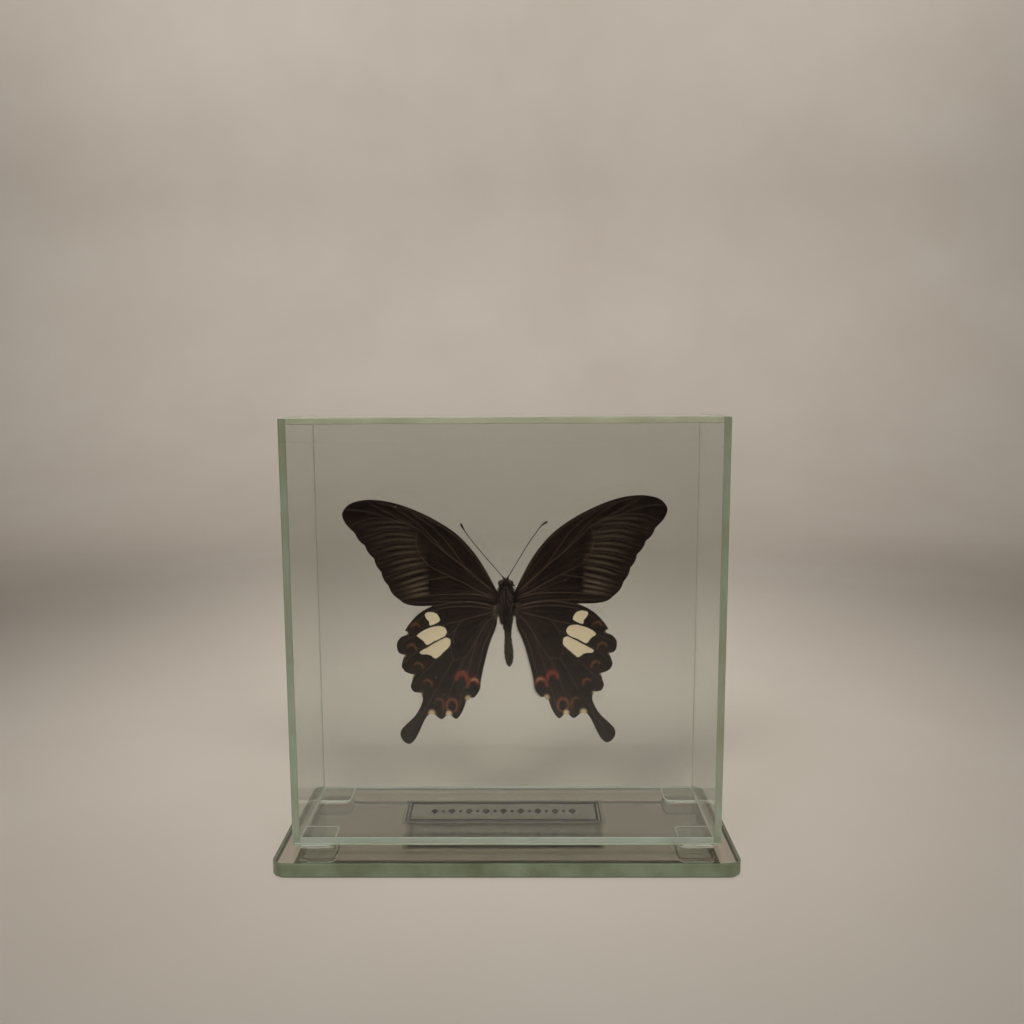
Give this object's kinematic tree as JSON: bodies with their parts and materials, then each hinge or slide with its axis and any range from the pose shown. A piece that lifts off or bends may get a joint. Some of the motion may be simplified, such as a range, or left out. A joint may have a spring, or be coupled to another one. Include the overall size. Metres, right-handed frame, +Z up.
{
  "type": "butterfly specimen in glass box",
  "caption": "Spread tailed butterfly specimen in a sealed rectangular glass box on clear pads over a mirror base, with a label film on the box floor.",
  "frame": {"origin": "centre of the mirror base's underside", "axes": "+Z up, X along the wide faces, -Y towards the face that shows the butterfly's underside"},
  "size_m": [0.161, 0.064, 0.1556],
  "materials": {
    "sheet_glass": "polished, green at the cut edges",
    "mirror_base": "polished mirror glass with green edges",
    "clear_pad": "clear soft gel",
    "clear_post": "clear",
    "label_film": "clear printed film",
    "wing": "dry scaled membrane",
    "body": "short dull hair",
    "antenna": "horny"
  },
  "bodies": {
    "root": {"base_plate": "mirror_base", "pad_front_left": "clear_pad", "pad_front_right": "clear_pad", "pad_back_left": "clear_pad", "pad_back_right": "clear_pad", "glass_front": "sheet_glass", "glass_back": "sheet_glass", "glass_left": "sheet_glass", "glass_right": "sheet_glass", "glass_floor": "sheet_glass", "glass_lid": "sheet_glass", "label_film": "label_film", "butterfly_body": "body", "forewing_left": "wing", "forewing_right": "wing", "hindwing_left": "wing", "hindwing_right": "wing", "antenna_left": "antenna", "antenna_right": "antenna", "support_post": "clear_post"}
  },
  "joints": []
}
